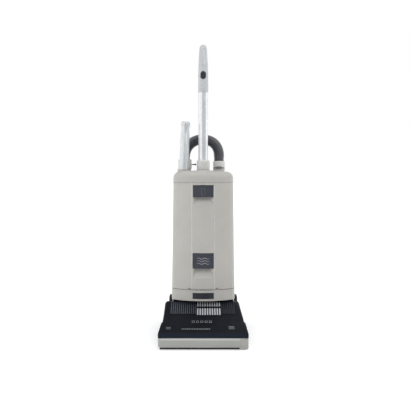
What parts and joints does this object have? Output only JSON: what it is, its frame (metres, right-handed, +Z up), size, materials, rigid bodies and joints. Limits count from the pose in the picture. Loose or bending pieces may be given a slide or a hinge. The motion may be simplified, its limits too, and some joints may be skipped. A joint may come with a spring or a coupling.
{
  "type": "upright vacuum cleaner",
  "caption": "Upright vacuum cleaner with a reclining bag-type body, driven brush head, instant-use hose and wand, loop hose arch and straight handle.",
  "frame": {"origin": "on the floor, at the centre of the machine's footprint", "axes": "+Z up, -Y forward (the way the machine is pushed), +X to the right as seen by someone facing the front of the machine"},
  "size_m": [0.31, 0.3748, 1.101],
  "materials": {
    "body_plastic": "moulded warm grey plastic with a fine grain",
    "black_cover": "satin black moulded plastic",
    "black_plastic": "satin black moulded plastic",
    "grey_bumper": "soft grey bumper strip",
    "grey_cap": "moulded light grey plastic",
    "light_vent": "light grey plastic",
    "dark_lens": "smoked glossy plastic",
    "circuit_board": "printed board laminate",
    "motor_steel": "zinc plated steel can",
    "light_metal": "machined aluminium",
    "steel": "plain zinc plated steel",
    "rubber_black": "moulded black rubber",
    "tyre_grey": "soft grey tread",
    "brush_tube": "dark moulded roller",
    "bristle": "nylon bristle tufts",
    "duct_plastic": "dark grey moulded plastic",
    "inner_plastic": "plain grey moulded plastic",
    "vent_dark": "dark grey louvred plastic",
    "latch_dark": "satin blue-black plastic",
    "card": "plain collar card",
    "bag_paper": "soft filter paper",
    "filter_paper": "pleated filter paper",
    "winding": "enamelled copper windings on steel",
    "wand_tube": "smooth pale grey tube",
    "collar_plastic": "pale grey moulded plastic",
    "handle_metal": "bright anodised tube",
    "grip_plastic": "pale grey satin plastic",
    "button_dark": "dark moulded plastic",
    "hose_plastic": "ribbed flexible hose",
    "cable_sheath": "soft cable sheath"
  },
  "bodies": {
    "head": {"chassis": "black_plastic", "head_cover": "black_cover", "cover_screws": "steel", "front_bumper": "grey_bumper", "vent_insert": "light_vent", "indicator_lens": "dark_lens", "indicator_board": "circuit_board", "brush_motor": "motor_steel", "drive_belt": "rubber_black", "brush_bearings": "steel", "suction_duct": "duct_plastic", "neck_seal": "rubber_black", "axles": "steel", "pedal_pin": "steel", "pedal_spring": "steel", "pivot_pins": "steel"},
    "brush": {"brush_core": "brush_tube", "brush_bristles": "bristle", "brush_pulley": "black_plastic"},
    "brush_drive": {"motor_pulley": "light_metal"},
    "access_cap": {"brush_access_cap": "grey_cap"},
    "rear_wheel_left": {"wheel_left": "black_plastic", "tyre_left": "tyre_grey"},
    "rear_wheel_right": {"wheel_right": "black_plastic", "tyre_right": "tyre_grey"},
    "front_roller_left": {"roller_left": "duct_plastic"},
    "front_roller_right": {"roller_right": "duct_plastic"},
    "pedal": {"foot_pedal": "black_plastic"},
    "upright": {"neck_yoke": "black_plastic", "rear_shell": "body_plastic", "shell_screws": "steel", "top_cap": "body_plastic", "lower_band": "body_plastic", "exhaust_vent": "vent_dark", "door_hinge_pins": "steel", "compartment_frame": "inner_plastic", "bag_collar": "card", "dust_bag": "bag_paper", "exhaust_filter": "filter_paper", "fan_housing": "duct_plastic", "fan_stator": "winding", "rubber_seals": "rubber_black", "riser_duct": "duct_plastic", "bag_inlet_pipe": "duct_plastic", "wand_holster": "duct_plastic", "handle_collar": "collar_plastic", "handle_tube": "handle_metal", "handle_grip": "grip_plastic", "hose": "hose_plastic", "hose_cuffs": "collar_plastic", "cord_hooks": "black_plastic", "mains_cable": "cable_sheath"},
    "door": {"bag_door": "body_plastic"},
    "door_latch_paddle": {"door_latch": "latch_dark"},
    "filter_latch_paddle": {"filter_latch": "latch_dark"},
    "fan": {"fan_rotor": "light_metal"},
    "wand": {"wand": "wand_tube"},
    "power_switch": {"power_button": "button_dark"},
    "hose_catch": {"hose_release": "button_dark"},
    "upper_hook": {"cord_hook_upper": "black_plastic"}
  },
  "joints": [
    {"name": "recline", "type": "hinge", "parent": "head", "child": "upright", "pos_m": [0, 0.0876, 0.085], "axis": [-1, 0, 0], "range_deg": [0, 80]},
    {"name": "brush_spin", "type": "hinge", "parent": "head", "child": "brush", "pos_m": [0, -0.1504, 0.027], "axis": [1, 0, 0], "continuous": true},
    {"name": "brush_motor_spin", "type": "hinge", "parent": "head", "child": "brush_drive", "pos_m": [-0.1, -0.0704, 0.05], "axis": [1, 0, 0], "continuous": true},
    {"name": "access_cap_pull", "type": "slide", "parent": "head", "child": "access_cap", "axis": [1, 0, 0], "range_m": [0, 0.04]},
    {"name": "rear_wheel_left_spin", "type": "hinge", "parent": "head", "child": "rear_wheel_left", "pos_m": [-0.14, 0.1326, 0.028], "axis": [1, 0, 0], "continuous": true},
    {"name": "rear_wheel_right_spin", "type": "hinge", "parent": "head", "child": "rear_wheel_right", "pos_m": [0.14, 0.1326, 0.028], "axis": [1, 0, 0], "continuous": true},
    {"name": "front_roller_left_spin", "type": "hinge", "parent": "head", "child": "front_roller_left", "pos_m": [-0.0745, -0.1074, 0.0095], "axis": [1, 0, 0], "continuous": true},
    {"name": "front_roller_right_spin", "type": "hinge", "parent": "head", "child": "front_roller_right", "pos_m": [0.0745, -0.1074, 0.0095], "axis": [1, 0, 0], "continuous": true},
    {"name": "pedal_press", "type": "hinge", "parent": "head", "child": "pedal", "pos_m": [-0.0895, 0.1416, 0.02], "axis": [-1, 0, 0], "range_deg": [0, 8], "deforming": ["pedal_spring"]},
    {"name": "door_open", "type": "hinge", "parent": "upright", "child": "door", "pos_m": [0, -0.0304, 0.175], "axis": [1, 0, 0], "range_deg": [0, 60]},
    {"name": "door_latch_lift", "type": "hinge", "parent": "door", "child": "door_latch_paddle", "pos_m": [0, -0.033, 0.5525], "axis": [-1, 0, 0], "range_deg": [0, 12]},
    {"name": "filter_latch_lift", "type": "hinge", "parent": "door", "child": "filter_latch_paddle", "pos_m": [0, -0.033, 0.302], "axis": [-1, 0, 0], "range_deg": [0, 12]},
    {"name": "fan_spin", "type": "hinge", "parent": "upright", "child": "fan", "pos_m": [0, 0.0846, 0.2], "axis": [0, 0, 1], "continuous": true},
    {"name": "wand_pull", "type": "slide", "parent": "upright", "child": "wand", "axis": [0.0384, 0, 0.9993], "range_m": [0, 0.2]},
    {"name": "power_press", "type": "slide", "parent": "upright", "child": "power_switch", "axis": [0, 1, 0], "range_m": [0, 0.002]},
    {"name": "hose_catch_press", "type": "slide", "parent": "upright", "child": "hose_catch", "axis": [-1, 0, 0], "range_m": [0, 0.002]},
    {"name": "cord_hook_turn", "type": "hinge", "parent": "upright", "child": "upper_hook", "pos_m": [0, 0.1516, 0.54], "axis": [0, 1, 0], "range_deg": [0, 180]}
  ],
  "couplings": [
    {"joint": "brush_motor_spin", "follows": "brush_spin", "ratio": 1.6667}
  ]
}
